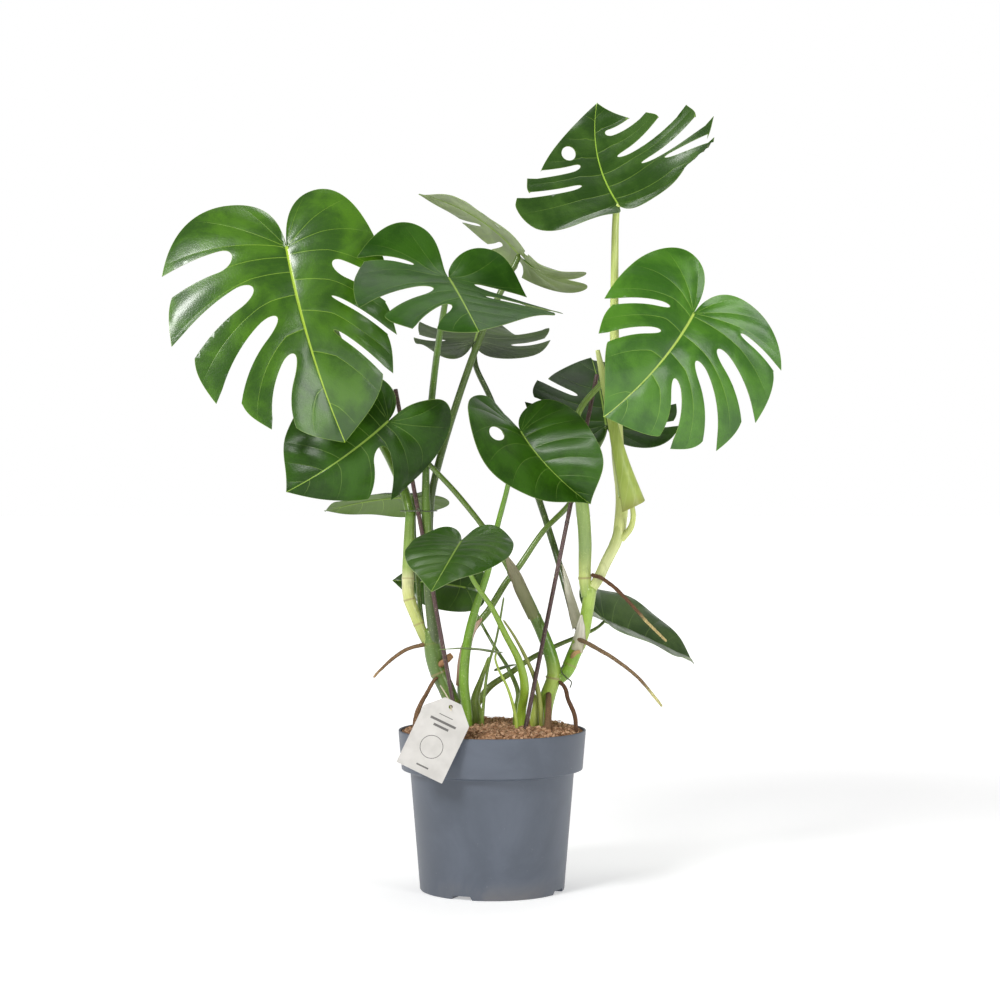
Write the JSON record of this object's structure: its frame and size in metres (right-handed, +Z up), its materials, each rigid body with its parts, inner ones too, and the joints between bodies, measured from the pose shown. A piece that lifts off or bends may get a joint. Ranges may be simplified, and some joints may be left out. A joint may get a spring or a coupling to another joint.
{
  "type": "potted monstera plant",
  "caption": "Live split-leaf monstera on bare stems with air roots, tied to thin sticks, in a tapered nursery pot of soil with a blank hang tag.",
  "frame": {"origin": "centre of the pot's flat underside, on the surface it stands on", "axes": "+Z up along the pot's axis; the plant's front, with the hang tag, faces -Y and +X is to the viewer's right"},
  "size_m": [0.7786, 0.5027, 1.0236],
  "materials": {
    "pot_plastic": "satin slate grey moulded plastic with faint scuffs",
    "soil": "rough brown coir and peat",
    "leaf_green": "waxy green leaf with pale veins and a paler underside",
    "young_leaf": "pale yellow-green rolled leaf",
    "stalk_green": "smooth green leaf stalk",
    "stem_green": "smooth yellow-green stem with pale node rings",
    "air_root": "dull brown root with a tan tip",
    "stick": "dark purple-brown stick",
    "tie_wire": "thin dark green coated wire",
    "card": "off-white uncoated card",
    "string": "cream cotton string"
  },
  "bodies": {
    "root": {"leaf_a": "leaf_green", "leaf_b": "leaf_green", "leaf_c": "leaf_green", "leaf_d": "leaf_green", "leaf_e": "leaf_green", "leaf_f": "leaf_green", "leaf_g": "leaf_green", "leaf_h": "leaf_green", "leaf_i": "leaf_green", "leaf_j": "leaf_green", "leaf_k": "leaf_green", "leaf_l": "leaf_green", "leaf_n": "leaf_green", "leaf_o": "leaf_green", "leaf_p": "leaf_green", "leaf_m": "young_leaf", "stem_left": "stem_green", "stem_middle": "stem_green", "stem_right": "stem_green", "branch_left": "stem_green", "branch_right": "stem_green", "petiole_a": "stalk_green", "petiole_b": "stalk_green", "petiole_c": "stalk_green", "petiole_d": "stalk_green", "petiole_e": "stalk_green", "petiole_f": "stalk_green", "petiole_g": "stalk_green", "petiole_h": "stalk_green", "petiole_i": "stalk_green", "petiole_k": "stalk_green", "petiole_l": "stalk_green", "petiole_n": "stalk_green", "petiole_o": "stalk_green", "petiole_j": "stalk_green", "petiole_m": "stalk_green", "petiole_spare": "stalk_green", "petiole_thin": "stalk_green", "sheath_left": "stalk_green", "sheath_right": "stalk_green", "air_root_1": "air_root", "air_root_2": "air_root", "air_root_3": "air_root", "air_root_4": "air_root", "air_root_5": "air_root", "air_root_6": "air_root", "stick_left": "stick", "stick_right": "stick", "tie_left": "tie_wire", "tie_right": "tie_wire", "tag": "card", "tag_string": "string", "pot": "pot_plastic", "soil": "soil"}
  },
  "joints": []
}
